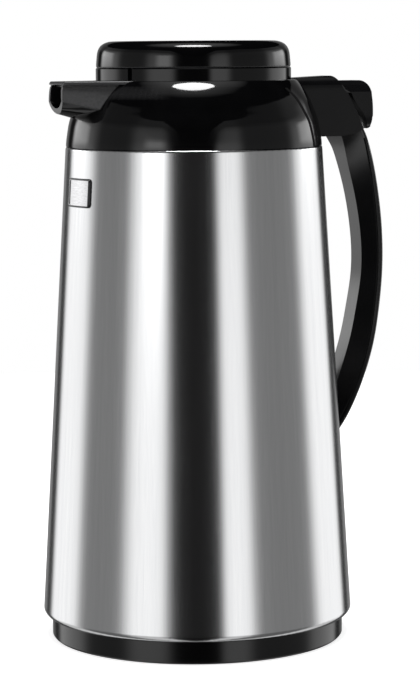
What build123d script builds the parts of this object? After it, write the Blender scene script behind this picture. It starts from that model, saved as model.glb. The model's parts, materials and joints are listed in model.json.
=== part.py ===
from build123d import *
import os
from math import sin, cos, radians, sqrt

# ---------------------------------------------------------------------------
# Thumb-lever vacuum carafe with a glass liner, millimetres.
# Origin: centre of the base on the floor. +Z up, spout towards -X,
# handle towards +X.
# ---------------------------------------------------------------------------

# driving dimensions
total_height = 308.0
base_r = 75.9
base_top = 11.3
jacket_r_low, jacket_z_low = 80.5, 11.5
jacket_r_top, jacket_z_top = 66.0, 254.4
jacket_wall = 0.8
foot_roll = 3.4
ring_r = 50.1
ring_z_low, ring_z_top = 288.2, 294.6
cap_r, cap_z_low = 49.9, 295.2
dome_pts = [
    (65.8, 254.7), (65.5, 258.5), (64.95, 262.2), (63.9, 267.5),
    (61.9, 273.0), (59.2, 279.3), (56.5, 283.6), (52.9, 287.9),
]
dome_wall = 2.2

# lever
pivot_x, pivot_z = 66.0, 279.0
pin_r = 1.5
hub_bore_r = 1.56

# lid thread: three starts
lead = 24.0
thread_arc = 60.0
skirt_r = 42.8
neck_bore_r = 44.4

# foot of the grip
foot_screw_z = 110.0

# valve
stem_r = 2.5
seat_z = 252.4

# grip stations: inner point x, inner point z, outward angle, depth, back cover depth, half width in front, half width at the seam
grip_stations = [
    (79.6, 262.0, 25.0, 12.2, 1.9, 9.8, 9.9),
    (81.0, 258.6, 24.0, 13.5, 1.9, 9.3, 9.8),
    (83.9, 252.4, 22.0, 14.2, 2.3, 7.4, 9.7),
    (85.9, 246.0, 18.5, 14.4, 2.8, 6.3, 9.6),
    (89.8, 232.0, 12.5, 13.7, 3.3, 5.7, 9.6),
    (93.1, 216.0, 7.5, 12.8, 3.6, 5.7, 9.6),
    (94.9, 200.0, 1.8, 12.1, 3.6, 5.7, 9.6),
    (94.6, 184.0, -4.6, 12.1, 3.6, 5.7, 9.6),
    (91.9, 168.0, -9.4, 13.1, 3.6, 5.7, 9.6),
    (88.4, 152.0, -14.8, 13.8, 3.6, 5.7, 9.6),
    (83.9, 138.0, -20.5, 14.0, 3.6, 5.7, 9.6),
    (79.6, 126.0, -28.0, 13.3, 3.6, 5.7, 9.6),
    (75.8, 116.5, -38.0, 12.2, 3.6, 5.7, 9.6),
    (71.5, 108.0, -48.0, 10.7, 3.6, 5.7, 9.6),
]
cover_start = 2
seam_bevel, seam_gap = 0.9, 0.3

os.makedirs("parts", exist_ok=True)


def jacket_r(z):
    return jacket_r_low + (jacket_r_top - jacket_r_low) * (z - jacket_z_low) / (jacket_z_top - jacket_z_low)


def save(builder, label):
    builder.part.label = label
    export_step(builder.part, "parts/" + label + ".step")


def turned(points, mode=Mode.ADD):
    """Revolve a closed (radius, z) outline about the vertical axis."""
    with BuildSketch(Plane.XZ) as outline:
        with BuildLine():
            Polyline(*points, close=True)
        make_face()
    revolve(outline.sketch, axis=Axis.Z, mode=mode)


def dome_outline(inset, z_top):
    """The dome's curve, moved inwards, ready to close on the axis."""
    return [(r - inset, z) for r, z in dome_pts[:-1]] + [(dome_pts[-1][0] - inset, z_top)]


# ---------------------------------------------------------------------------
# casing
# ---------------------------------------------------------------------------
with BuildPart() as outer_jacket:
    ri = jacket_wall
    with BuildSketch(Plane.XZ):
        with BuildLine():
            # rolled foot, straight wall, rounded top edge
            j1 = Line((73.9, jacket_z_low), (jacket_r_low - foot_roll, jacket_z_low))
            j2 = Spline(j1 @ 1, (jacket_r_low - 1.15, jacket_z_low + 1.0), (jacket_r(jacket_z_low + foot_roll), jacket_z_low + foot_roll),
                        tangents=[(1, 0), (jacket_r_top - jacket_r_low, jacket_z_top - jacket_z_low)])
            j3 = Line(j2 @ 1, (jacket_r(jacket_z_top - 1.2), jacket_z_top - 1.2))
            j4 = Spline(j3 @ 1, (jacket_r_top - 1.1, jacket_z_top),
                        tangents=[(jacket_r_top - jacket_r_low, jacket_z_top - jacket_z_low), (-1, 0)])
            Polyline(j4 @ 1, (jacket_r_top - 1.1, jacket_z_top - 0.9), (jacket_r(jacket_z_low + foot_roll) - ri, jacket_z_low + foot_roll),
                     (jacket_r_low - foot_roll, jacket_z_low + ri), (73.9, jacket_z_low + ri), j1 @ 0)
        make_face()
    revolve(axis=Axis.Z)
    # screw hole behind the handle foot
    with BuildSketch(Plane.YZ.offset(60)):
        with Locations((0, foot_screw_z)):
            Circle(1.7)
    extrude(amount=25, mode=Mode.SUBTRACT)
save(outer_jacket, "outer_jacket")

with BuildPart() as base_ring:
    turned([
        (69.0, 0), (75.2, 0), (base_r, 0.9), (base_r, base_top), (73.6, base_top), (73.6, 19.0),
        (71.6, 19.0), (71.6, 8.6), (59.5, 8.6), (59.5, 5.2), (69.0, 5.2),
    ])
    # groove for the anti-slip ring
    turned([(70.6, -1), (73.4, -1), (73.4, 1.4), (70.6, 1.4)], mode=Mode.SUBTRACT)
    with BuildSketch(Plane.XY.offset(5.0)):
        with PolarLocations(63.5, 4, start_angle=45):
            Circle(1.4)
    extrude(amount=5, mode=Mode.SUBTRACT)
save(base_ring, "base_ring")

with BuildPart() as anti_slip_ring:
    turned([(70.7, 0), (73.3, 0), (73.3, 1.4), (70.7, 1.4)])
save(anti_slip_ring, "anti_slip_ring")

with BuildPart() as base_plate:
    turned([
        (0, 2.4), (68.7, 2.4), (68.7, 5.1), (36.0, 5.1), (35.0, 20.0), (32.4, 20.0), (32.4, 5.1), (0, 5.1),
    ])
    # recessed centre panel
    with BuildSketch(Plane.XY.offset(2.4)):
        Circle(50)
    extrude(amount=0.8, mode=Mode.SUBTRACT)
    with BuildSketch(Plane.XY.offset(2.0)):
        with PolarLocations(63.5, 4, start_angle=45):
            Circle(1.8)
    extrude(amount=4, mode=Mode.SUBTRACT)
    with BuildSketch(Plane.XY.offset(2.4)):
        with PolarLocations(63.5, 4, start_angle=45):
            Circle(3.2)
    extrude(amount=1.3, mode=Mode.SUBTRACT)
save(base_plate, "base_plate")

with BuildPart() as base_screws:
    with BuildSketch(Plane.XY.offset(2.5)):
        with PolarLocations(63.5, 4, start_angle=45):
            Circle(3.0)
    extrude(amount=1.2)
    with BuildSketch(Plane.XY.offset(3.7)):
        with PolarLocations(63.5, 4, start_angle=45):
            Circle(1.4)
    extrude(amount=4.6)
    # cross recess
    with BuildSketch(Plane.XY.offset(2.5)):
        with PolarLocations(63.5, 4, start_angle=45):
            Rectangle(3.2, 0.7)
            Rectangle(0.7, 3.2)
    extrude(amount=0.8, mode=Mode.SUBTRACT)
save(base_screws, "base_screws")

# plain plate on the jacket, a little to one side of the spout
plate_z, plate_turn, plate_half = 232.4, 185.6, 7.3


def plate_shell(inner, outer):
    """Band that follows the jacket, between two distances from it."""
    turned([
        (jacket_r(plate_z - 10) + inner, plate_z - 10), (jacket_r(plate_z - 10) + outer, plate_z - 10),
        (jacket_r(plate_z + 10) + outer, plate_z + 10), (jacket_r(plate_z + 10) + inner, plate_z + 10),
    ])


with BuildPart() as plate_panel:
    plate_shell(0.65, 3.0)
    with BuildSketch(Plane.YZ.offset(50)):
        with Locations((0, plate_z)):
            RectangleRounded(15.6 * 1.22, 2 * plate_half - 2.2, 1.0)
    extrude(amount=40, mode=Mode.INTERSECT)

with BuildPart() as badge_plate:
    plate_shell(0.05, 1.0)
    # rounded outline
    with BuildSketch(Plane.YZ.offset(50)):
        with Locations((0, plate_z)):
            RectangleRounded(21.4, 2 * plate_half, 2.0)
    extrude(amount=40, mode=Mode.INTERSECT)
    # shallow panel inside a raised rim
    add(plate_panel.part, mode=Mode.SUBTRACT)
    fillet([e for e in badge_plate.edges() if e.length > 8 and abs(sqrt(e.center().X ** 2 + e.center().Y ** 2) - jacket_r(e.center().Z) - 1.0) < 0.12
            and (abs(e.center().Z - plate_z) > plate_half - 0.3 or abs(e.center().Y) > 10)], 0.3)
badge_plate.part = badge_plate.part.rotate(Axis.Z, plate_turn)
save(badge_plate, "badge_plate")

# ---------------------------------------------------------------------------
# glass liner
# ---------------------------------------------------------------------------
def bottle_wall(r_out, z_bot, z_low, z_high, neck_r, z_neck, z_rim, wall):
    """A thin turned bottle wall with a domed bottom and shoulder."""
    r_in = r_out - wall
    with BuildSketch(Plane.XZ) as outline:
        with BuildLine():
            l1 = Spline((0, z_bot), (r_out, z_low), tangents=[(1, 0), (0, 1)], tangent_scalars=[1.5, 0.9])
            l2 = Line(l1 @ 1, (r_out, z_high))
            l3 = Spline((r_out, z_high), (neck_r, z_neck), tangents=[(0, 1), (0, 1)], tangent_scalars=[1.3, 0.6])
            l4 = Line(l3 @ 1, (neck_r, z_rim))
            l5 = Line(l4 @ 1, (neck_r - wall, z_rim))
            l6 = Line(l5 @ 1, (neck_r - wall, z_neck))
            l7 = Spline((neck_r - wall, z_neck), (r_in, z_high), tangents=[(0, -1), (0, -1)], tangent_scalars=[0.6, 1.3])
            l8 = Line(l7 @ 1, (r_in, z_low))
            l9 = Spline((r_in, z_low), (0, z_bot + wall), tangents=[(0, -1), (-1, 0)], tangent_scalars=[0.9, 1.5])
            l10 = Line(l9 @ 1, (0, z_bot))
        make_face()
    revolve(outline.sketch, axis=Axis.Z)


with BuildPart() as liner_inner_bottle:
    bottle_wall(57.6, 31.0, 62.0, 203.0, 23.4, 243.0, 261.0, 1.6)
    # rim that closes the vacuum space
    turned([(21.8, 260.4), (25.5, 260.4), (25.3, 261.6), (24.6, 262.0), (22.6, 262.0), (21.8, 261.5)])
save(liner_inner_bottle, "liner_inner_bottle")

with BuildPart() as liner_outer_bottle:
    bottle_wall(62.4, 22.0, 60.0, 205.0, 25.5, 244.0, 260.35, 1.6)
    # sealed evacuation tip under the bottom
    turned([(0, 14.0), (1.6, 15.0), (3.0, 18.5), (5.0, 22.6), (0, 22.6)])
save(liner_outer_bottle, "liner_outer_bottle")

with BuildPart() as liner_spacers:
    with BuildSketch(Plane.XZ):
        with BuildLine():
            Polyline((57.7, 96.0), (60.7, 96.0), (60.7, 108.0), (57.7, 108.0), close=True)
        make_face()
    revolve(axis=Axis.Z, revolution_arc=10.0)
liner_spacers.part = Compound([
    liner_spacers.part.solids()[0].rotate(Axis.Z, a) for a in (25.0, 145.0, 265.0)
])
save(liner_spacers, "liner_spacers")

with BuildPart() as liner_cushion:
    turned([(8.0, 5.2), (32.2, 5.2), (32.2, 29.0), (27.0, 29.0), (8.0, 24.0)])
    # seat that follows the glass bottom, with a little play
    with BuildSketch(Plane.XZ):
        with BuildLine():
            s1 = Spline((0, 21.9), (62.5, 60.0), tangents=[(1, 0), (0, 1)], tangent_scalars=[1.5, 0.9])
            Polyline(s1 @ 1, (0, 60.0), (0, 21.9))
        make_face()
    revolve(axis=Axis.Z, mode=Mode.SUBTRACT)
save(liner_cushion, "liner_cushion")

with BuildPart() as neck_gasket:
    turned([
        (22.4, 262.05), (25.65, 262.05), (25.65, 253.0), (28.4, 253.0), (28.4, 263.95), (22.4, 263.95),
    ])
save(neck_gasket, "neck_gasket")

# ---------------------------------------------------------------------------
# shoulder and spout
# ---------------------------------------------------------------------------
tip_x, root_x = -80.0, -46.0
wall_lean = 0.12
shadow_z, shadow_h, shadow_d = 285.3, 0.9, 0.7


def spout_loft(grow, lift, top_tip, top_root, mode):
    """Trough that widens from the mouth to the dome."""
    sections = []
    for x, half, z_side, z_low, top in (
        (tip_x, 7.4, 279.2, 273.2, top_tip),
        (root_x, 25.0, 271.0, 263.8, top_root),
    ):
        h = half + grow
        h_top = h - wall_lean * (top - z_side)
        with BuildSketch(Plane.YZ.offset(x)) as sk:
            with BuildLine():
                Polyline((-h, z_side), (-h_top, top), (h_top, top), (h, z_side))
                ThreePointArc((h, z_side), (0, z_low + lift), (-h, z_side))
            make_face()
        sections.append(sk.sketch)
    loft(sections, mode=mode)


# shallow groove down each side of the saddle that the handle head stands on
saddle_y, saddle_groove_w, saddle_groove_d = 48.7, 2.2, 0.75
with BuildPart() as saddle_grooves:
    with BuildSketch(Plane.XY.offset(250)):
        with Locations((40, saddle_y), (40, -saddle_y)):
            Rectangle(80, saddle_groove_w)
    extrude(amount=34.2)
    with BuildSketch(Plane.XZ):
        with BuildLine():
            g1 = Spline(*[(r - saddle_groove_d, z) for r, z in dome_pts], tangents=[(0, 1), (-1, 0.95)])
            Polyline(g1 @ 1, (0, dome_pts[-1][1]), (0, 240), (dome_pts[0][0] - saddle_groove_d, 240), g1 @ 0)
        make_face()
    revolve(axis=Axis.Z, mode=Mode.SUBTRACT)

with BuildPart() as shoulder_cover:
    with BuildSketch(Plane.XZ):
        with BuildLine():
            d1 = Spline(*dome_pts, tangents=[(0, 1), (-1, 0.95)])
            Polyline(d1 @ 1, (51.9, 288.1), (0, 288.1), (0, 254.7), d1 @ 0)
        make_face()
    revolve(axis=Axis.Z)
    add(saddle_grooves.part, mode=Mode.SUBTRACT)
    spout_loft(0, 0, 286.4, 286.4, Mode.ADD)
    # mouth
    with BuildSketch(Plane.XZ):
        with BuildLine():
            m1 = Spline((-74.6, 288.4), (-75.8, 285.2), (-76.3, 280.0), (-75.9, 274.8), (-74.9, 271.5))
            Polyline(m1 @ 1, (-95, 262), (-95, 292), m1 @ 0)
        make_face()
    extrude(amount=30, both=True, mode=Mode.SUBTRACT)
    # skirt that drops inside the jacket
    turned([(62.6, 247.5), (64.7, 247.5), (64.7, 255.5), (62.6, 255.5)])
    # hollow inside
    with BuildSketch(Plane.XZ):
        with BuildLine():
            d2 = Spline(*[(r - dome_wall, z) for r, z in dome_pts[:-1]] + [(dome_pts[-1][0] - dome_wall, 285.4)],
                        tangents=[(0, 1), (-1, 0.95)])
            Polyline(d2 @ 1, (0, 285.4), (0, 240), (dome_pts[0][0] - dome_wall - 0.6, 240), (63.0, 247.4), d2 @ 0)
        make_face()
    revolve(axis=Axis.Z, mode=Mode.SUBTRACT)
    turned([(0, 280), (48.3, 280), (48.3, 300), (0, 300)], mode=Mode.SUBTRACT)
    # pouring channel, open on top
    spout_loft(-1.8, 2.6, 290.0, 290.0, Mode.SUBTRACT)
    # shadow gap under the edge of the spout cover
    with BuildSketch(Plane.XY.offset(shadow_z)):
        with BuildLine():
            Polyline((-82.0, 12), (-82.0, -12), (-41.0, -32.6), (-41.0, 32.6), close=True)
        make_face()
        with BuildLine():
            Polyline((-79.0, 7.1 - shadow_d), (-79.0, -7.1 + shadow_d), (-46.0, -23.2 + shadow_d), (-46.0, 23.2 - shadow_d), close=True)
        make_face(mode=Mode.SUBTRACT)
        Circle(55.4, mode=Mode.SUBTRACT)
    extrude(amount=shadow_h, mode=Mode.SUBTRACT)
    # seat for the spout cover
    with BuildSketch(Plane.XY.offset(286.4)):
        with BuildLine():
            Polyline((-79.0, 8.2), (-79.0, -8.2), (-40.0, -28.6), (-40.0, 28.6), close=True)
        make_face()
    extrude(amount=5, mode=Mode.SUBTRACT)
    # slot for the lever finger
    with BuildSketch(Plane.XZ):
        with BuildLine():
            Polyline((45, 275.6), (64, 275.6), (64, 283.2), (45, 283.2), close=True)
        make_face()
    extrude(amount=4.6, both=True, mode=Mode.SUBTRACT)
    # handle screw holes
    with BuildSketch(Plane.YZ.offset(50)):
        with Locations((-6.2, 264.0), (6.2, 264.0)):
            Circle(1.6)
    extrude(amount=20, mode=Mode.SUBTRACT)
save(shoulder_cover, "shoulder_cover")

with BuildPart() as spout_cover:
    with BuildSketch(Plane.XY.offset(286.5)):
        with BuildLine():
            Polyline((-77.0, 9.1), (-77.0, -9.1), (-40.0, -28.3), (-40.0, 28.3), close=True)
        make_face()
    extrude(amount=1.6)
    with BuildSketch(Plane.XZ):
        with BuildLine():
            n1 = Spline((-74.3, 288.6), (-75.7, 286.9), (-75.9, 286.0))
            Polyline(n1 @ 1, (-90, 286), (-90, 290), n1 @ 0)
        make_face()
    extrude(amount=30, both=True, mode=Mode.SUBTRACT)
    with BuildSketch(Plane.XY.offset(280)):
        Circle(ring_r + 0.25)
    extrude(amount=20, mode=Mode.SUBTRACT)
    chamfer(spout_cover.faces().sort_by(Axis.Z)[-1].edges().filter_by(lambda e: abs(e.center().Y) > 3 and e.geom_type == GeomType.LINE), 0.4)
    # locating rib inside the channel
    with BuildSketch(Plane.XY.offset(285.3)):
        with BuildLine():
            Polyline((-73.0, 6.6), (-73.0, -6.6), (-54.0, -15.6), (-54.0, 15.6), close=True)
        make_face()
        with BuildLine():
            Polyline((-71.6, 5.0), (-71.6, -5.0), (-55.4, -13.4), (-55.4, 13.4), close=True)
        make_face(mode=Mode.SUBTRACT)
    extrude(amount=1.3)
save(spout_cover, "spout_cover")


def thread_ridges(radius, z_start, mode=Mode.ADD):
    """Three helical ridges of the lid thread."""
    path = Helix(pitch=lead, height=lead * thread_arc / 360, radius=radius, center=(0, 0, z_start))
    ridge = sweep(
        Plane(origin=path @ 0, x_dir=(1, 0, 0), z_dir=path % 0) * Rectangle(1.3, 1.6),
        path=path, is_frenet=True, mode=Mode.PRIVATE,
    )
    return [ridge.rotate(Axis.Z, a) for a in (0, 120, 240)]


neck_ridges = thread_ridges(neck_bore_r - 0.55, 289.0)
lid_ridges = thread_ridges(skirt_r + 0.45, 286.9)

with BuildPart() as pour_collar:
    turned([
        (neck_bore_r, 294.6), (49.45, 294.6), (49.85, 294.4), (ring_r, 294.0), (ring_r, ring_z_low), (48.1, ring_z_low), (48.1, 284.6),
        (47.0, 284.6), (47.0, 263.4), (31.2, 263.4), (31.2, 253.0), (28.6, 253.0), (28.6, 264.0), (22.4, 264.0),
        (22.4, 266.0), (neck_bore_r, 266.0),
    ])
    # way to the spout
    with BuildSketch(Plane.YZ.offset(-60)):
        with BuildLine():
            Polyline((-15, 268.5), (-15, 284.6), (15, 284.6), (15, 268.5), close=True)
        make_face()
    extrude(amount=40, mode=Mode.SUBTRACT)
    # slot for the lever finger
    with BuildSketch(Plane.YZ.offset(30)):
        with Locations((0, 279.9)):
            Rectangle(9.2, 7.4)
    extrude(amount=30, mode=Mode.SUBTRACT)
    # index mark on the ring
    with BuildSketch(Plane.XY.offset(288.0)):
        with PolarLocations(ring_r, 1, start_angle=180 + 26.0):
            Rectangle(3.2, 3.0)
    extrude(amount=7, mode=Mode.SUBTRACT)
    for piece in neck_ridges:
        add(piece)
save(pour_collar, "pour_collar")

# ---------------------------------------------------------------------------
# handle
# ---------------------------------------------------------------------------
def grip_plane(station, down=0.0):
    """Section plane of the grip, moved along the grip by a small distance."""
    x, z, angle = station[:3]
    a = radians(angle)
    return Plane(origin=(x + down * sin(a), 0, z - down * cos(a)), x_dir=(cos(a), 0, sin(a)), z_dir=(sin(a), 0, -cos(a)))


def back_outline(start, d, s, half, start_half):
    """Rounded back of the grip, from the seam on one side to the seam on the other."""
    e1 = Spline((start + seam_bevel, half - 0.05), (d + 0.66 * s, half - 0.45), (d + 0.94 * s, half - 2.2), (d + s, 0),
                (d + 0.94 * s, -half + 2.2), (d + 0.66 * s, -half + 0.45), (start + seam_bevel, -half + 0.05))
    Polyline(e1 @ 1, (start, -start_half), (start, start_half), e1 @ 0)


# rear edge of the head: x, z, and the direction it faces
head_back = [
    (77.0, 289.6, 0.15, 0.99), (80.4, 286.6, 0.72, 0.69), (83.7, 282.3, 0.81, 0.58), (86.1, 278.9, 0.84, 0.54),
    (89.4, 273.1, 0.88, 0.47), (92.9, 266.4, 0.92, 0.38), (94.6, 261.6, 0.98, 0.20),
]
head_bevel = 0.8

with BuildPart() as handle_frame:
    # head that sits against the dome, with a bevel down its rear edges
    for low, high, inset in ((-9.2, 9.2, 0.0), (9.2, 10.0, head_bevel), (-9.2, -10.0, head_bevel)):
        for y, shrink in ((low, 0.0), (high, inset)):
            with BuildSketch(Plane.XZ.offset(-y)):
                with BuildLine():
                    rear = [(x - shrink * nx, z - shrink * nz) for x, z, nx, nz in head_back]
                    h1 = Spline(*rear, tangents=[(1, -0.15), (0.2, -1)])
                    Polyline(h1 @ 1, (90.0, 259.6), (81.4, 258.0), (56.0, 258.0), (56.0, 288.6), (66.0, 289.1), h1 @ 0)
                make_face()
        loft()
    with BuildSketch(Plane.YZ.offset(50)):
        with BuildLine():
            Polyline((4.2, 289.9), (-4.2, 289.9))
            ThreePointArc((-4.2, 289.9), (-8.1, 287.0), (-10, 282.0))
            Polyline((-10, 282.0), (-10, 250), (10, 250), (10, 282.0))
            ThreePointArc((10, 282.0), (8.1, 287.0), (4.2, 289.9))
        make_face()
    extrude(amount=60, mode=Mode.INTERSECT)
    # front half of the grip
    for x, z, angle, depth, s, front, half in grip_stations:
        with BuildSketch(grip_plane((x, z, angle))):
            with BuildLine():
                d = depth - s
                side = front + (half - front) * (d - seam_bevel) / d
                Polyline((0, -front), (d - seam_bevel, -side), (d, -half + seam_bevel), (d, half - seam_bevel), (d - seam_bevel, side), (0, front),
                         close=True)
            make_face()
    loft()
    # its closed back under the head
    for x, z, angle, depth, s, front, half in grip_stations[:cover_start + 1]:
        with BuildSketch(grip_plane((x, z, angle))):
            with BuildLine():
                d = depth - s
                back_outline(d - 0.8, d, s, half, half - 0.3)
            make_face()
    loft()
    # hollow of the grip, open towards the back cover
    for x, z, angle, depth, s, front, half in grip_stations[cover_start + 1:-1]:
        with BuildSketch(grip_plane((x, z, angle))):
            with BuildLine():
                d = depth - s
                Polyline((2.2, -front + 1.6), (d + 0.5, -half + 2.3), (d + 0.5, half - 2.3), (2.2, front - 1.6), close=True)
            make_face()
    loft(mode=Mode.SUBTRACT)
    # clearance to the dome and the jacket
    with BuildSketch(Plane.XZ):
        with BuildLine():
            c1 = Spline(*[(r + 0.08, z) for r, z in dome_pts], tangents=[(0, 1), (-1, 0.95)])
            Polyline(c1 @ 1, (50.3, 289.2), (50.3, 300), (0, 300), (0, 11.0), (jacket_r_low + 0.1, 11.0),
                     (jacket_r_top + 0.1, jacket_z_top), c1 @ 0)
        make_face()
    revolve(axis=Axis.Z, mode=Mode.SUBTRACT)
    # lever room
    lever_room = [(-7.6, 270.5), (-7.6, 281.2), (-4.3, 287.5), (4.3, 287.5), (7.6, 281.2), (7.6, 270.5)]
    with BuildSketch(Plane.YZ.offset(50)):
        with BuildLine():
            Polyline(*lever_room, close=True)
        make_face()
    extrude(amount=30.5, mode=Mode.SUBTRACT)
    with BuildSketch(Plane.YZ.offset(79)):
        with BuildLine():
            Polyline((-7.6, 279.2), *lever_room[1:5], (7.6, 279.2), close=True)
        make_face()
    extrude(amount=30, mode=Mode.SUBTRACT)
    # pin bore
    with BuildSketch(Plane.XZ):
        with Locations((pivot_x, pivot_z)):
            Circle(pin_r)
    extrude(amount=9.2, both=True, mode=Mode.SUBTRACT)
    # pilot holes of the two head screws and the foot screw
    with BuildSketch(Plane.YZ.offset(60)):
        with Locations((-6.2, 264.0), (6.2, 264.0)):
            Circle(1.4)
    extrude(amount=13.2, mode=Mode.SUBTRACT)
    with BuildSketch(Plane.YZ.offset(70)):
        with Locations((0, foot_screw_z)):
            Circle(1.4)
    extrude(amount=8.7, mode=Mode.SUBTRACT)
save(handle_frame, "handle_frame")

with BuildPart() as handle_back_cover:
    for n, (x, z, angle, depth, s, front, half) in enumerate(grip_stations[cover_start:]):
        with BuildSketch(grip_plane((x, z, angle), 0.25 if n == 0 else 0.0)):
            with BuildLine():
                d = depth - s
                back_outline(d + seam_gap, d, s, half, half - seam_bevel)
            make_face()
    loft()
    turned([(0, 90), (jacket_r(90) + 0.12, 90), (jacket_r(130) + 0.12, 130), (0, 130)], mode=Mode.SUBTRACT)
save(handle_back_cover, "handle_back_cover")

with BuildPart() as head_screws:
    with BuildSketch(Plane.YZ.offset(58.2)):
        with Locations((-6.2, 264.0), (6.2, 264.0)):
            Circle(2.8)
    extrude(amount=1.8)
    with BuildSketch(Plane.YZ.offset(60.0)):
        with Locations((-6.2, 264.0), (6.2, 264.0)):
            Circle(1.4)
    extrude(amount=13.0)
save(head_screws, "head_screws")

with BuildPart() as foot_backing_plate:
    turned([(72.2, 102.0), (73.6, 102.0), (72.7, 117.0), (71.3, 117.0)])
    with BuildSketch(Plane.XY.offset(90)):
        with Locations((72, 0)):
            Rectangle(14, 20)
    extrude(amount=30, mode=Mode.INTERSECT)
    with BuildSketch(Plane.YZ.offset(60)):
        with Locations((0, foot_screw_z)):
            Circle(1.5)
    extrude(amount=25, mode=Mode.SUBTRACT)
save(foot_backing_plate, "foot_backing_plate")

with BuildPart() as foot_screw:
    with BuildSketch(Plane.YZ.offset(69.3)):
        with Locations((0, foot_screw_z)):
            Circle(2.8)
    extrude(amount=2.2)
    with BuildSketch(Plane.YZ.offset(71.5)):
        with Locations((0, foot_screw_z)):
            Circle(1.4)
    extrude(amount=7.0)
save(foot_screw, "foot_screw")

with BuildPart() as lever_pin:
    with BuildSketch(Plane.XZ.offset(-9.1)):
        with Locations((pivot_x, pivot_z)):
            Circle(pin_r)
    extrude(amount=18.2)
save(lever_pin, "lever_pin")

# ---------------------------------------------------------------------------
# thumb lever
# ---------------------------------------------------------------------------
with BuildPart() as thumb_lever:
    with BuildSketch(Plane.XZ):
        with BuildLine():
            t1 = Spline((94.0, 287.05), (97.4, 286.4), (99.6, 284.2), (100.6, 280.0), (101.3, 274.0), (101.5, 268.0), (101.3, 263.2),
                        tangents=[(1, 0), (0, -1)])
            t2 = ThreePointArc(t1 @ 1, (100.7, 261.5), (99.6, 262.4))
            t3 = Spline(t2 @ 1, (98.3, 265.0), (96.3, 268.8), (91.6, 274.9), (88.4, 280.5))
            Polyline(t3 @ 1, (84.0, 282.9), (73.0, 282.4), (70.6, 279.6), (69.4, 276.0), (66.0, 274.6), (62.4, 276.0),
                     (61.2, 279.6), (62.6, 283.0), (68.0, 286.2), (74.0, 287.05), t1 @ 0)
        make_face()
    extrude(amount=7.0, both=True)
    # bevelled top and tapering tongue
    with BuildSketch(Plane.YZ.offset(50)):
        with BuildLine():
            Polyline((-7.0, 270), (-7.0, 281.0), (-5.2, 284.6), (-3.4, 287.1), (3.4, 287.1), (5.2, 284.6), (7.0, 281.0), (7.0, 270), close=True)
        make_face()
    extrude(amount=37, mode=Mode.INTERSECT)
    with BuildSketch(Plane.XZ):
        with BuildLine():
            q1 = Spline((94.0, 287.05), (97.4, 286.4), (99.6, 284.2), (100.6, 280.0), (101.3, 274.0), (101.5, 268.0), (101.3, 263.2),
                        tangents=[(1, 0), (0, -1)])
            q2 = ThreePointArc(q1 @ 1, (100.7, 261.5), (99.6, 262.4))
            q3 = Spline(q2 @ 1, (98.3, 265.0), (96.3, 268.8), (91.6, 274.9), (88.4, 280.5))
            Polyline(q3 @ 1, (86.9, 281.32), (86.9, 287.05), q1 @ 0)
        make_face()
    tongue = extrude(amount=7.0, both=True, mode=Mode.PRIVATE)
    with BuildSketch(Plane.YZ.offset(80)):
        with BuildLine():
            u1 = Spline((7.0, 281.0), (6.95, 275.0), (6.7, 269.5), (5.6, 265.0), (0, 261.3), (-5.6, 265.0), (-6.7, 269.5), (-6.95, 275.0), (-7.0, 281.0),
                        tangents=[(0, -1), (0, 1)])
            Polyline(u1 @ 1, (-5.2, 284.6), (-3.4, 287.1), (3.4, 287.1), (5.2, 284.6), u1 @ 0)
        make_face()
    front = extrude(amount=30, mode=Mode.PRIVATE)
    add(tongue & front)
    # bore for the pin
    with BuildSketch(Plane.XZ):
        with Locations((pivot_x, pivot_z)):
            Circle(hub_bore_r)
    extrude(amount=12, both=True, mode=Mode.SUBTRACT)
    # socket for the steel finger
    with BuildSketch(Plane.XZ):
        with BuildLine():
            Polyline((58, 276.95), (63.4, 276.95), (63.4, 279.05), (58, 279.05), close=True)
        make_face()
    extrude(amount=4.05, both=True, mode=Mode.SUBTRACT)
save(thumb_lever, "thumb_lever")

with BuildPart() as lever_finger:
    with BuildSketch(Plane.XZ):
        with BuildLine():
            Polyline((34.0, 277.4), (34.8, 277.0), (63.3, 277.0), (63.3, 279.0), (38.6, 279.0), (37.2, 280.7), (34.8, 280.7), (34.0, 280.0), close=True)
        make_face()
    extrude(amount=4.0, both=True)
save(lever_finger, "lever_finger")


def coil(center_x, z0, z1, radius, wire, turns):
    """Compression spring with a round wire."""
    h = z1 - z0 - wire
    path = Helix(pitch=h / turns, height=h, radius=radius, center=(center_x, 0, z0 + wire / 2))
    return sweep(Plane(origin=path @ 0, x_dir=(1, 0, 0), z_dir=path % 0) * Circle(wire / 2), path=path, is_frenet=True, mode=Mode.PRIVATE)


lever_coil = coil(76.0, 270.6, 281.9, 2.4, 0.6, 5)
with BuildPart() as lever_return_spring:
    add(lever_coil)
save(lever_return_spring, "lever_return_spring")

# ---------------------------------------------------------------------------
# lid
# ---------------------------------------------------------------------------
cap_pts = [(49.9, 295.2), (49.7, 298.3), (49.4, 301.3), (49.0, 303.1), (48.2, 304.8), (46.8, 306.3), (44.4, 307.5), (40.5, 308.0)]
boss_angles = (45.0, 165.0, 285.0)
boss_spots = [(26 * cos(radians(a)), 26 * sin(radians(a))) for a in boss_angles]

with BuildPart() as lid_cap:
    with BuildSketch(Plane.XZ):
        with BuildLine():
            k1 = Spline(*cap_pts, tangents=[(0, 1), (-1, 0)])
            Polyline(k1 @ 1, (0, total_height), (0, 305.7), (42.0, 305.7), (46.2, 304.0), (47.5, 300.5), (47.7, 295.2), k1 @ 0)
        make_face()
    revolve(axis=Axis.Z)
    with BuildSketch(Plane.XY.offset(292.3)):
        with Locations(*boss_spots):
            Circle(3.6)
    extrude(amount=13.6)
    with BuildSketch(Plane.XY.offset(292.0)):
        with Locations(*boss_spots):
            Circle(1.3)
    extrude(amount=9.0, mode=Mode.SUBTRACT)
save(lid_cap, "lid_cap")

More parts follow.
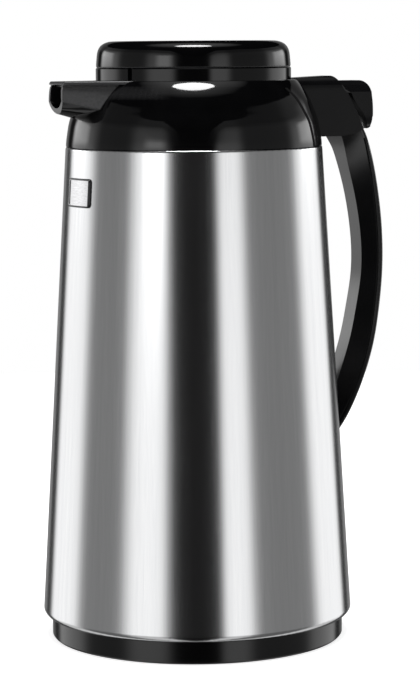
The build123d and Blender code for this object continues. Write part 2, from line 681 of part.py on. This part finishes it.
with BuildPart() as lid_plug:
    turned([
        (17.6, 290.0), (17.6, seat_z), (11.0, seat_z), (11.0, 250.0), (19.2, 250.0), (20.0, 250.8), (20.0, 268.9), (27.0, 268.9),
        (27.0, 270.9), (20.0, 270.9), (20.0, 290.0), (40.4, 290.0), (40.4, 284.6), (skirt_r, 284.6), (skirt_r, 294.7),
        (49.65, 294.7), (49.65, 295.2), (47.2, 295.2), (47.2, 297.0), (40.4, 297.0), (40.4, 292.2), (9.6, 292.2), (9.6, 300.4), (stem_r + 0.06, 300.4),
        (stem_r + 0.06, 298.4), (7.4, 298.4), (7.4, 290.0),
    ])
    # pouring windows
    with BuildSketch(Plane.XY.offset(271.6)):
        Rectangle(60, 20)
        Rectangle(20, 60)
        Circle(16, mode=Mode.SUBTRACT)
        with BuildLine():
            Polyline((-21, -21), (21, -21), (21, 21), (-21, 21), close=True)
        make_face(mode=Mode.INTERSECT)
    extrude(amount=18.4, mode=Mode.SUBTRACT)
    with BuildSketch(Plane.XY.offset(288)):
        with Locations(*boss_spots):
            Circle(1.5)
    extrude(amount=6, mode=Mode.SUBTRACT)
    for piece in lid_ridges:
        add(piece)
save(lid_plug, "lid_plug")

with BuildPart() as lid_insulation:
    turned([(11.0, 292.4), (39.8, 292.4), (39.8, 305.5), (11.0, 305.5)])
    with BuildSketch(Plane.XY.offset(290)):
        with Locations(*boss_spots):
            Circle(3.8)
    extrude(amount=20, mode=Mode.SUBTRACT)
save(lid_insulation, "lid_insulation")

with BuildPart() as lid_screws:
    with BuildSketch(Plane.XY.offset(288.6)):
        with Locations(*boss_spots):
            Circle(2.7)
    extrude(amount=1.3)
    with BuildSketch(Plane.XY.offset(289.9)):
        with Locations(*boss_spots):
            Circle(1.3)
    extrude(amount=10.0)
save(lid_screws, "lid_screws")

with BuildPart() as lid_gasket:
    turned([(20.3, 266.2), (27.4, 266.2), (27.8, 267.4), (27.4, 268.6), (20.3, 268.6)])
save(lid_gasket, "lid_gasket")

# ---------------------------------------------------------------------------
# valve
# ---------------------------------------------------------------------------
with BuildPart() as valve_stem:
    turned([(0, 254.6), (stem_r, 254.6), (stem_r, 300.2), (stem_r - 0.5, 300.8), (0, 300.8)])
save(valve_stem, "valve_stem")

with BuildPart() as valve_plug:
    turned([(0, 252.9), (10.4, 252.9), (10.4, 254.3), (15.0, 254.3), (15.0, 256.4), (6.0, 259.0), (5.0, 263.0), (stem_r, 263.0),
            (stem_r, 254.6), (0, 254.6)])
save(valve_plug, "valve_plug")

with BuildPart() as valve_seal:
    turned([(10.4, seat_z + 0.1), (14.6, seat_z + 0.1), (14.6, 254.3), (10.4, 254.3)])
save(valve_seal, "valve_seal")

with BuildPart() as valve_lift_ring:
    turned([(stem_r, 279.2), (6.4, 279.2), (6.4, 283.5), (stem_r, 283.5)])
    turned([(30.5, 281.0), (38.0, 281.0), (38.0, 283.3), (30.5, 283.3)])
    with BuildSketch(Plane.XY.offset(281.0)):
        Rectangle(70, 6)
        Rectangle(6, 70)
        Circle(5, mode=Mode.SUBTRACT)
    extrude(amount=2.3)
save(valve_lift_ring, "valve_lift_ring")

with BuildPart() as stem_clip:
    turned([(stem_r, 278.0), (4.6, 278.0), (4.6, 279.1), (stem_r, 279.1)])
    with BuildSketch(Plane.XY.offset(277)):
        with Locations((4, 0)):
            Rectangle(6, 2.4)
    extrude(amount=3, mode=Mode.SUBTRACT)
save(stem_clip, "stem_clip")

valve_coil = coil(0.0, 283.7, 298.2, 5.0, 0.8, 6)
with BuildPart() as valve_spring:
    add(valve_coil)
save(valve_spring, "valve_spring")
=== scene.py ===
import json
import math
import bmesh
import bpy
import numpy as np
from mathutils import Matrix, Vector

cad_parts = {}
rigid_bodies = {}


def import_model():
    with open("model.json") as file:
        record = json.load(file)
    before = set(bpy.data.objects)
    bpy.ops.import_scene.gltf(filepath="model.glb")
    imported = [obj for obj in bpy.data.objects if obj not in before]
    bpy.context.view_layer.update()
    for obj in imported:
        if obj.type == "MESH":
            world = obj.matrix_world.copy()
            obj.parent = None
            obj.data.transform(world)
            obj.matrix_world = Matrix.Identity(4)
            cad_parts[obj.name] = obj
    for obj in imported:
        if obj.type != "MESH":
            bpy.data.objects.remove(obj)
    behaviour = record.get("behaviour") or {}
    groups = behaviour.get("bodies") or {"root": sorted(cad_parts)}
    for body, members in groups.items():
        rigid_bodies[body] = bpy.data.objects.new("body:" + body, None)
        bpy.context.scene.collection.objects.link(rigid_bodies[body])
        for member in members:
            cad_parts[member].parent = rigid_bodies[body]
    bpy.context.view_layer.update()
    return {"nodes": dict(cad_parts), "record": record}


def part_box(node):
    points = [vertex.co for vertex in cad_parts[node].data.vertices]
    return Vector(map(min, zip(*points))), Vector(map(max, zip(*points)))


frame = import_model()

nodes = frame["nodes"]
scene = bpy.context.scene
for o in list(scene.objects):
    if o.type in ("CAMERA", "LIGHT") or o.name == "Cube":
        bpy.data.objects.remove(o)

# ---------------------------------------------------------------------------
# node helpers
# ---------------------------------------------------------------------------
def new_mat(name):
    m = bpy.data.materials.new(name)
    m.use_nodes = True
    nt = m.node_tree
    nt.nodes.clear()
    out = nt.nodes.new("ShaderNodeOutputMaterial")
    bs = nt.nodes.new("ShaderNodeBsdfPrincipled")
    nt.links.new(bs.outputs[0], out.inputs[0])
    return m, nt, bs


def N(nt, kind, **kw):
    n = nt.nodes.new(kind)
    for k, v in kw.items():
        if k.startswith("i_"):
            n.inputs[k[2:].replace("_", " ")].default_value = v
        else:
            setattr(n, k, v)
    return n


def L(nt, a, b):
    nt.links.new(a, b)


def coords(nt, scale=(1, 1, 1)):
    tc = N(nt, "ShaderNodeTexCoord")
    mp = N(nt, "ShaderNodeMapping")
    mp.inputs["Scale"].default_value = scale
    L(nt, tc.outputs["Object"], mp.inputs["Vector"])
    return mp.outputs[0]


def round_coords(nt, radius=0.07):
    """(arc length, height, radius) of a point, for grain that runs round or up a turned part."""
    tc = N(nt, "ShaderNodeTexCoord")
    sp = N(nt, "ShaderNodeSeparateXYZ")
    L(nt, tc.outputs["Object"], sp.inputs[0])
    # a circle of fixed radius in place of the angle, so there is no seam
    ln = N(nt, "ShaderNodeCombineXYZ")
    L(nt, sp.outputs[0], ln.inputs[0])
    L(nt, sp.outputs[1], ln.inputs[1])
    nr = N(nt, "ShaderNodeVectorMath", operation="NORMALIZE")
    L(nt, ln.outputs[0], nr.inputs[0])
    sc = N(nt, "ShaderNodeVectorMath", operation="SCALE")
    sc.inputs[3].default_value = radius
    L(nt, nr.outputs[0], sc.inputs[0])
    s2 = N(nt, "ShaderNodeSeparateXYZ")
    L(nt, sc.outputs[0], s2.inputs[0])
    cb = N(nt, "ShaderNodeCombineXYZ")
    L(nt, s2.outputs[0], cb.inputs[0])
    L(nt, s2.outputs[1], cb.inputs[1])
    L(nt, sp.outputs[2], cb.inputs[2])
    return cb.outputs[0]


def scaled(nt, vec, scale):
    mp = N(nt, "ShaderNodeMapping")
    mp.inputs["Scale"].default_value = scale
    L(nt, vec, mp.inputs["Vector"])
    return mp.outputs[0]


def noise(nt, vec, scale, detail=4.0, rough=0.5):
    n = N(nt, "ShaderNodeTexNoise")
    n.inputs["Scale"].default_value = scale
    n.inputs["Detail"].default_value = detail
    n.inputs["Roughness"].default_value = rough
    L(nt, vec, n.inputs["Vector"])
    return n.outputs["Fac"]


def ramp(nt, fac, stops):
    r = N(nt, "ShaderNodeValToRGB")
    el = r.color_ramp.elements
    while len(el) < len(stops):
        el.new(0.5)
    for e, (p, c) in zip(el, stops):
        e.position = p
        e.color = c if len(c) == 4 else (*c, 1)
    L(nt, fac, r.inputs[0])
    return r.outputs[0]


def rng(nt, fac, lo, hi, a=0.0, b=1.0):
    m = N(nt, "ShaderNodeMapRange")
    m.inputs["From Min"].default_value = a
    m.inputs["From Max"].default_value = b
    m.inputs["To Min"].default_value = lo
    m.inputs["To Max"].default_value = hi
    L(nt, fac, m.inputs["Value"])
    return m.outputs[0]


def bump(nt, bs, height, strength, dist):
    b = N(nt, "ShaderNodeBump")
    b.inputs["Strength"].default_value = strength
    b.inputs["Distance"].default_value = dist
    L(nt, height, b.inputs["Height"])
    L(nt, b.outputs[0], bs.inputs["Normal"])
    return b


# ---------------------------------------------------------------------------
# materials
# ---------------------------------------------------------------------------
def plastic(name, base, rough, spread, grain=900.0, grain_depth=0.00001, grain_strength=0.12, smudge=14.0, scratch=0.03, satin_and_painted_light=None):
    """Moulded plastic: orange-peel grain, patchy polish, fine handling scratches.

    The satin pair (base, roughness) is for the trough that stands out of the dome on the pouring side. Its side walls
    are spark-textured, and their lighter base is painted light kept to the lit side walls, while the shaded underside
    stays black as painted shade."""
    m, nt, bs = new_mat(name)
    c = coords(nt)
    patch = noise(nt, c, smudge, 5, 0.6)
    fine = noise(nt, c, grain, 2, 0.5)
    hair = noise(nt, scaled(nt, c, (1.0, 1.0, 9.0)), 260.0, 2, 0.7)
    hi = tuple(min(1, v * 1.5 + 0.004) for v in base)
    lo = tuple(v * 0.8 for v in base)
    col = ramp(nt, patch, [(0.3, lo), (0.75, hi)])
    r1 = rng(nt, patch, rough - spread, rough + spread, 0.3, 0.75)
    r2 = rng(nt, hair, 0.0, scratch, 0.55, 0.8)
    ad = N(nt, "ShaderNodeMath", operation="ADD")
    L(nt, r1, ad.inputs[0])
    L(nt, r2, ad.inputs[1])
    rough_out = ad.outputs[0]
    if satin_and_painted_light:
        satin_painted_light_base, srough = satin_and_painted_light
        tc = N(nt, "ShaderNodeTexCoord")
        sx = N(nt, "ShaderNodeSeparateXYZ")
        L(nt, tc.outputs["Object"], sx.inputs[0])

        def op(kind, *args):
            n = N(nt, "ShaderNodeMath", operation=kind)
            for i, v in enumerate(args):
                if isinstance(v, (int, float)):
                    n.inputs[i].default_value = v
                else:
                    L(nt, v, n.inputs[i])
            return n.outputs[0]

        # how far a point stands out beyond the dome's own outline at its height
        px, py, pz = sx.outputs
        rad = op("SQRT", op("ADD", op("MULTIPLY", px, px), op("MULTIPLY", py, py)))
        h = op("SUBTRACT", pz, 0.264)
        dome_r = op("SUBTRACT", op("SUBTRACT", 0.0656, op("MULTIPLY", h, 0.33)), op("MULTIPLY", op("MULTIPLY", h, h), 9.0))
        beyond = rng(nt, op("SUBTRACT", rad, dome_r), 0.0, 1.0, 0.0007, 0.0014)
        on_side = rng(nt, px, 1.0, 0.0, -0.040, -0.034)
        # the side walls only: their lower edge climbs towards the mouth; the lighter colour there is painted light on
        # the lit walls, and the underside stays glossy black as painted shade
        lower_edge = op("ADD", op("MULTIPLY", op("SUBTRACT", op("MULTIPLY", px, -1.0), 0.046), 0.241), 0.2705)
        high = rng(nt, op("SUBTRACT", pz, lower_edge), 0.0, 1.0, -0.0006, 0.0004)
        # painted light mask: lighter satin colour on the lit side walls, none on the shaded underside
        satin_painted_light_mask = N(nt, "ShaderNodeMath", operation="MULTIPLY")
        L(nt, op("MULTIPLY", beyond, on_side), satin_painted_light_mask.inputs[0])
        L(nt, high, satin_painted_light_mask.inputs[1])
        # spark grain on a lighter base: real texture, and the base level is painted light
        spark_painted_light = ramp(nt, fine, [(0.3, tuple(v * 0.85 for v in satin_painted_light_base)), (0.7, tuple(v * 1.15 for v in satin_painted_light_base))])
        mixc = N(nt, "ShaderNodeMix", data_type="RGBA")
        L(nt, satin_painted_light_mask.outputs[0], mixc.inputs[0])
        L(nt, col, mixc.inputs[6])
        L(nt, spark_painted_light, mixc.inputs[7])
        col = mixc.outputs[2]
        mixr = N(nt, "ShaderNodeMix", data_type="FLOAT")
        L(nt, satin_painted_light_mask.outputs[0], mixr.inputs[0])
        L(nt, rough_out, mixr.inputs[2])
        L(nt, rng(nt, fine, srough - 0.04, srough + 0.04, 0.3, 0.7), mixr.inputs[3])
        rough_out = mixr.outputs[0]
    L(nt, col, bs.inputs["Base Color"])
    L(nt, rough_out, bs.inputs["Roughness"])
    bs.inputs["IOR"].default_value = 1.5
    bump(nt, bs, fine, grain_strength, grain_depth)
    return m


def steel_brushed(name):
    """Satin steel: hairlines up the height, faint cloudy variation, a few rubbed marks."""
    m, nt, bs = new_mat(name)
    c = round_coords(nt, 0.075)
    hair = noise(nt, scaled(nt, c, (1, 1, 0.020)), 2600.0, 2, 0.5)
    broad = noise(nt, scaled(nt, c, (1, 1, 0.008)), 420.0, 2, 0.5)
    cloud = noise(nt, scaled(nt, c, (1, 1, 0.35)), 16.0, 4, 0.55)
    rub = noise(nt, scaled(nt, c, (1, 1, 0.25)), 190.0, 3, 0.7)
    mix = N(nt, "ShaderNodeMath", operation="MULTIPLY_ADD")
    mix.inputs[1].default_value = 0.55
    L(nt, hair, mix.inputs[0])
    half = N(nt, "ShaderNodeMath", operation="MULTIPLY")
    half.inputs[1].default_value = 0.45
    L(nt, broad, half.inputs[0])
    L(nt, half.outputs[0], mix.inputs[2])
    col = ramp(nt, mix.outputs[0], [(0.30, (0.690, 0.695, 0.705)), (0.70, (0.765, 0.768, 0.772))])
    L(nt, col, bs.inputs["Base Color"])
    bs.inputs["Metallic"].default_value = 1.0
    r1 = rng(nt, mix.outputs[0], 0.135, 0.165, 0.3, 0.7)
    r2 = rng(nt, cloud, -0.012, 0.016, 0.3, 0.7)
    r3 = rng(nt, rub, 0.0, 0.03, 0.62, 0.8)
    ad = N(nt, "ShaderNodeMath", operation="ADD")
    L(nt, r1, ad.inputs[0])
    L(nt, r2, ad.inputs[1])
    a2 = N(nt, "ShaderNodeMath", operation="ADD")
    L(nt, ad.outputs[0], a2.inputs[0])
    L(nt, r3, a2.inputs[1])
    L(nt, a2.outputs[0], bs.inputs["Roughness"])
    bump(nt, bs, mix.outputs[0], 0.03, 0.000004)
    return m


def metal(name, base, rough, grain=500.0):
    m, nt, bs = new_mat(name)
    c = coords(nt)
    n1 = noise(nt, c, grain, 3, 0.6)
    n2 = noise(nt, c, 60.0, 3, 0.6)
    col = ramp(nt, n2, [(0.3, tuple(v * 0.85 for v in base)), (0.7, tuple(min(1, v * 1.1) for v in base))])
    L(nt, col, bs.inputs["Base Color"])
    bs.inputs["Metallic"].default_value = 1.0
    L(nt, rng(nt, n1, rough - 0.07, rough + 0.09, 0.3, 0.7), bs.inputs["Roughness"])
    bump(nt, bs, n1, 0.08, 0.00001)
    return m


def plate(name):
    """Plain bright plate with fine lengthways grain and a dark border painted in as the shade and dark reflection on
    its bevelled edge.
    """
    m, nt, bs = new_mat(name)
    lo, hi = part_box("badge_plate")
    cy, cz, hy, hz = (lo[1] + hi[1]) / 2, (lo[2] + hi[2]) / 2, (hi[1] - lo[1]) / 2, (hi[2] - lo[2]) / 2
    tc = N(nt, "ShaderNodeTexCoord")
    sp = N(nt, "ShaderNodeSeparateXYZ")
    L(nt, tc.outputs["Object"], sp.inputs[0])

    def edge(out, centre, half):
        d = N(nt, "ShaderNodeMath", operation="SUBTRACT")
        L(nt, out, d.inputs[0])
        d.inputs[1].default_value = centre
        a = N(nt, "ShaderNodeMath", operation="ABSOLUTE")
        L(nt, d.outputs[0], a.inputs[0])
        e = N(nt, "ShaderNodeMath", operation="SUBTRACT")
        e.inputs[0].default_value = half
        L(nt, a.outputs[0], e.inputs[1])
        return e.outputs[0]

    near = N(nt, "ShaderNodeMath", operation="MINIMUM")
    L(nt, edge(sp.outputs[1], cy, hy), near.inputs[0])
    L(nt, edge(sp.outputs[2], cz, hz), near.inputs[1])
    # painted shade: a dark, non-metal band round the edge stands in for the dark reflections on the plate's bevelled
    # edge
    painted_edge_shade = rng(nt, near.outputs[0], 1.0, 0.0, 0.00085, 0.00105)
    grain = noise(nt, scaled(nt, tc.outputs["Object"], (1, 0.05, 1)), 2400.0, 2, 0.5)
    face = ramp(nt, grain, [(0.3, (0.60, 0.60, 0.61)), (0.7, (0.70, 0.70, 0.71))])
    mixc = N(nt, "ShaderNodeMix", data_type="RGBA")
    L(nt, painted_edge_shade, mixc.inputs[0])
    L(nt, face, mixc.inputs[6])
    mixc.inputs[7].default_value = (0.012, 0.012, 0.014, 1)
    L(nt, mixc.outputs[2], bs.inputs["Base Color"])
    L(nt, rng(nt, painted_edge_shade, 1.0, 0.0), bs.inputs["Metallic"])
    L(nt, rng(nt, grain, 0.16, 0.22, 0.3, 0.7), bs.inputs["Roughness"])
    bump(nt, bs, grain, 0.02, 0.000004)
    return m


def rubber(name, base, rough, grain=700.0):
    m, nt, bs = new_mat(name)
    c = coords(nt)
    n1 = noise(nt, c, grain, 3, 0.6)
    n2 = noise(nt, c, 45.0, 4, 0.6)
    col = ramp(nt, n2, [(0.3, tuple(v * 0.8 for v in base)), (0.7, tuple(min(1, v * 1.2) for v in base))])
    L(nt, col, bs.inputs["Base Color"])
    L(nt, rng(nt, n1, rough - 0.08, rough + 0.08, 0.3, 0.7), bs.inputs["Roughness"])
    bump(nt, bs, n1, 0.25, 0.00003)
    return m


def glass_silvered(name):
    """The back of a silvered vacuum glass: a slightly wavy mirror."""
    m, nt, bs = new_mat(name)
    c = coords(nt)
    wave = noise(nt, c, 26.0, 2, 0.4)
    cloud = noise(nt, c, 60.0, 5, 0.6)
    col = ramp(nt, cloud, [(0.3, (0.80, 0.80, 0.78)), (0.7, (0.92, 0.92, 0.91))])
    L(nt, col, bs.inputs["Base Color"])
    bs.inputs["Metallic"].default_value = 1.0
    L(nt, rng(nt, cloud, 0.03, 0.09, 0.3, 0.7), bs.inputs["Roughness"])
    bump(nt, bs, wave, 0.15, 0.0004)
    return m


M = {
    "brushed_steel": steel_brushed("steel_jacket"),
    "badge": plate("plain_plate"),
    "black_gloss": plastic("gloss_black", (0.0012, 0.0012, 0.0015), 0.055, 0.012, grain_strength=0.04, scratch=0.015),
    "black_plastic": plastic("base_black", (0.004, 0.004, 0.0045), 0.17, 0.04),
    "black_handle": plastic("handle_black", (0.003, 0.003, 0.0035), 0.16, 0.03, grain=1300.0, grain_strength=0.10),
    "black_matte": plastic("matt_black", (0.022, 0.022, 0.024), 0.5, 0.07, grain=1500.0, grain_strength=0.3),
    "rubber": rubber("black_rubber", (0.020, 0.020, 0.020), 0.7),
    "silicone": rubber("white_silicone", (0.70, 0.70, 0.66), 0.45),
    "liner_glass": glass_silvered("silvered_glass"),
    "spacer_felt": rubber("pressed_fibre", (0.45, 0.40, 0.32), 0.9, 300.0),
    "foam": rubber("lid_foam", (0.80, 0.80, 0.76), 0.85, 400.0),
    "screw_steel": metal("plated_steel", (0.62, 0.62, 0.61), 0.30),
    "spring_steel": metal("spring_wire", (0.55, 0.55, 0.55), 0.25),
}
slot_of = {s["node"]: s["material_slot"] for s in frame["record"]["subparts"]}
# dome plastic: trough side walls get a satin finish with a lighter base, which is painted light
dome_black = plastic("dome_black", (0.0012, 0.0012, 0.0015), 0.055, 0.012, grain_strength=0.04, scratch=0.015,
                     satin_and_painted_light=((0.075, 0.075, 0.077), 0.45))
satin_black = plastic("satin_black", (0.045, 0.045, 0.047), 0.45, 0.04, grain=1200.0, grain_strength=0.2)
for name, o in nodes.items():
    o.data.materials.clear()
    o.data.materials.append({"shoulder_cover": dome_black, "spout_cover": satin_black}.get(name, M[slot_of[name]]))

# ---------------------------------------------------------------------------
# smooth shading that keeps creases
# ---------------------------------------------------------------------------
def smooth(o, angle=32.0):
    for p in o.data.polygons:
        p.use_smooth = True
    md = o.modifiers.new("crease", "EDGE_SPLIT")
    md.split_angle = math.radians(angle)
    md.use_edge_sharp = False


for o in nodes.values():
    smooth(o)

# ---------------------------------------------------------------------------
# floor, light, camera
# ---------------------------------------------------------------------------
bm = bmesh.new()
bmesh.ops.create_circle(bm, cap_ends=True, cap_tris=False, segments=96, radius=1.1)
me = bpy.data.meshes.new("floor")
bm.to_mesh(me)
bm.free()
floor = bpy.data.objects.new("floor", me)
scene.collection.objects.link(floor)
floor.location = (0, 0, -0.0003)
floor.visible_glossy = False
floor.visible_diffuse = False
fm, nt, bs = new_mat("floor_white")
bs.inputs["Base Color"].default_value = (0.93, 0.93, 0.93, 1)
bs.inputs["Roughness"].default_value = 0.6
bs.inputs["Specular IOR Level"].default_value = 0.2
bs.inputs["Emission Color"].default_value = (1, 1, 1, 1)
bs.inputs["Emission Strength"].default_value = 0.85
floor.data.materials.append(fm)

# studio: tall soft panels round the object, as brightness by compass direction
world = scene.world or bpy.data.worlds.new("studio")
scene.world = world
world.use_nodes = True
wt = world.node_tree
wt.nodes.clear()
wo = wt.nodes.new("ShaderNodeOutputWorld")
# a plain layout, by direction from the photograph's side of the object in degrees: four equal soft panels, a black
# flag in front and one at each back edge, and the same grey wall everywhere between
PANEL, WALL, FLAG = 1.2, 0.25, 0.03
panels = [
    (-180, WALL), (-160, WALL), (-150, FLAG), (-145, FLAG), (-135, PANEL), (-110, PANEL), (-90, WALL), (-65, WALL), (-45, PANEL),
    (-30, PANEL), (-15, FLAG), (15, FLAG), (25, PANEL), (35, PANEL), (50, WALL), (90, WALL), (110, PANEL), (135, PANEL),
    (145, FLAG), (150, FLAG), (160, WALL), (180, WALL),
]
VIEW_AZ = 25.0
tc = wt.nodes.new("ShaderNodeTexCoord")
sp = wt.nodes.new("ShaderNodeSeparateXYZ")
wt.links.new(tc.outputs["Generated"], sp.inputs[0])
# turn so that 0 is towards the camera: camera lies at azimuth -90 - 25 degrees
ca, sa = math.cos(math.radians(90 + VIEW_AZ)), math.sin(math.radians(90 + VIEW_AZ))


def wmath(op, a, b=None, c=None):
    n = wt.nodes.new("ShaderNodeMath")
    n.operation = op
    for i, v in enumerate((a, b, c)):
        if v is None:
            continue
        if isinstance(v, (int, float)):
            n.inputs[i].default_value = v
        else:
            wt.links.new(v, n.inputs[i])
    return n.outputs[0]


X, Y, Z = sp.outputs[0], sp.outputs[1], sp.outputs[2]
# direction towards the camera, and the direction to its right
tx, ty = -0.4235, -0.9059
rx, ry = 0.9059, -0.4235
fwd = wmath("ADD", wmath("MULTIPLY", X, tx), wmath("MULTIPLY", Y, ty))
side = wmath("ADD", wmath("MULTIPLY", X, rx), wmath("MULTIPLY", Y, ry))
ang = wmath("ARCTAN2", side, fwd)
frac = wmath("MULTIPLY_ADD", ang, 1 / (2 * math.pi), 0.5)
cr = wt.nodes.new("ShaderNodeFloatCurve")
cv = cr.mapping.curves[0]
pts = [((a + 180) / 360, b) for a, b in panels]
cv.points[0].location = pts[0]
cv.points[1].location = pts[-1]
for p in pts[1:-1]:
    cv.points.new(*p)
cr.mapping.update()
wt.links.new(frac, cr.inputs["Value"])
band = cr.outputs[0]
# the panels stop at a clean top edge (sine of its elevation, by direction); seen by height as a share of that edge,
# their light falls off upwards, and well below the horizon the pale floor gives back about half of it
top_edge = [(-180, 0.3), (-120, 0.5), (-60, 0.6), (-30, 0.55), (-10, 0.2), (10, 0.2), (30, 0.55), (60, 0.6), (120, 0.5), (180, 0.3)]
share = [(-4.0, 0.0), (0.0, 1.0), (0.3, 0.85), (0.7, 0.1), (0.97, 0.1), (1.0, 0.0), (4.0, 0.0)]
# light of the room wall behind the panels, up to the same edge, and the glow round the overhead light
wall = [(-4.0, 0.0), (0.3, 0.0), (0.5, 0.1), (0.97, 0.1), (1.0, 0.0), (4.0, 0.0)]
glow = [(-1.0, 0.0), (0.85, 0.0), (1.0, 1.0)]
below = [(-1.0, 0.6), (-0.4, 0.5), (-0.25, 1.0), (1.0, 1.0)]


def curve(value, points, lo, hi):
    node = wt.nodes.new("ShaderNodeFloatCurve")
    c = node.mapping.curves[0]
    ps = [((p - lo) / (hi - lo), q) for p, q in points]
    c.points[0].location = ps[0]
    c.points[1].location = ps[-1]
    for p in ps[1:-1]:
        c.points.new(*p)
    for p in c.points:
        p.handle_type = "VECTOR"
    node.mapping.update()
    wt.links.new(value, node.inputs["Value"])
    return node.outputs[0]


z01 = wmath("MULTIPLY_ADD", Z, 0.5, 0.5)
ratio = wmath("DIVIDE", wmath("MAXIMUM", Z, 0.0), curve(frac, top_edge, -180, 180))
by_height = wmath("MULTIPLY", curve(wmath("MULTIPLY_ADD", wmath("MINIMUM", ratio, 3.9), 0.125, 0.5), share, -4.0, 4.0),
                  curve(z01, below, -1.0, 1.0))


def lamp(a0, a1, z0, z1, strength, soft=7.0, zsoft=0.05):
    """A brighter patch on a panel, where the lamp stands behind it."""
    by_angle = curve(frac, [(-180, 0), (a0 - soft, 0), (a0, 1), (a1, 1), (a1 + soft, 0), (180, 0)], -180, 180)
    by_z = curve(z01, [(-1, 0), (z0 - 2 * zsoft, 0), (z0, 1), (z1, 1), (z1 + zsoft, 0), (1, 0)], -1.0, 1.0)
    return wmath("MULTIPLY", wmath("MULTIPLY", by_angle, by_z), strength)


lamps = 0.0
for spec in ((-135, -115, 0.1, 0.2, 1.5), (-40, -30, 0.1, 0.2, 1.5), (115, 135, 0.1, 0.2, 1.5)):
    lamps = wmath("ADD", lamps, lamp(*spec))
wall_light = wmath("MULTIPLY", curve(wmath("MULTIPLY_ADD", wmath("MINIMUM", ratio, 3.9), 0.125, 0.5), wall, -4.0, 4.0),
                   curve(frac, [(-180, 1), (-24, 1), (-12, 0.1), (12, 0.1), (26, 1), (180, 1)], -180, 180))
level = wmath("ADD", wmath("ADD", wmath("MULTIPLY", band, by_height), wall_light), wmath("ADD", lamps, curve(z01, glow, -1.0, 1.0)))
bg1 = wt.nodes.new("ShaderNodeBackground")
bg1.inputs["Color"].default_value = (1, 1, 1, 1)
wt.links.new(level, bg1.inputs["Strength"])
bg2 = wt.nodes.new("ShaderNodeBackground")
bg2.inputs["Color"].default_value = (1, 1, 1, 1)
bg2.inputs["Strength"].default_value = 1.0
lp = wt.nodes.new("ShaderNodeLightPath")
mx = wt.nodes.new("ShaderNodeMixShader")
wt.links.new(lp.outputs["Is Camera Ray"], mx.inputs[0])
wt.links.new(bg1.outputs[0], mx.inputs[1])
wt.links.new(bg2.outputs[0], mx.inputs[2])
wt.links.new(mx.outputs[0], wo.inputs[0])


def area(name, loc, target, size, power, size_y=None):
    d = bpy.data.lights.new(name, "AREA")
    d.shape = "RECTANGLE"
    d.size = size
    d.size_y = size_y or size
    d.energy = power
    o = bpy.data.objects.new(name, d)
    scene.collection.objects.link(o)
    o.location = loc
    o.rotation_euler = (Vector(target) - Vector(loc)).to_track_quat("-Z", "Y").to_euler()
    return o


to_cam = Vector((tx, ty, 0))
right = Vector((rx, ry, 0))
top_light = area("top_soft", Vector((0, 0, 1.75)) + to_cam * 0.36, (0, 0, 0.3), 0.74, 20.0, 0.50)
top_light.data.shape = "ELLIPSE"
top_light.rotation_euler = (0, 0, math.atan2(ry, rx))

cam_data = bpy.data.cameras.new("camera")
cam = bpy.data.objects.new("camera", cam_data)
scene.collection.objects.link(cam)
cam_data.sensor_fit = "AUTO"
cam_data.sensor_width = 36.0
cam_data.lens = 131.585
cam_data.clip_start = 0.05
cam_data.clip_end = 20
r = Vector((0.90349368, -0.42854852, -0.00673341))
u = Vector((0.05536359, 0.10111373, 0.99333322))
b = Vector((-0.42501064, -0.89784307, 0.1150816))
m4 = Matrix(((r.x, u.x, b.x, -0.553274), (r.y, u.y, b.y, -1.1865), (r.z, u.z, b.z, 0.301728), (0, 0, 0, 1)))
cam.matrix_world = m4
scene.camera = cam

scene.view_settings.view_transform = "Standard"
scene.view_settings.look = "None"
scene.view_settings.exposure = 0.0
scene.view_settings.gamma = 1.0
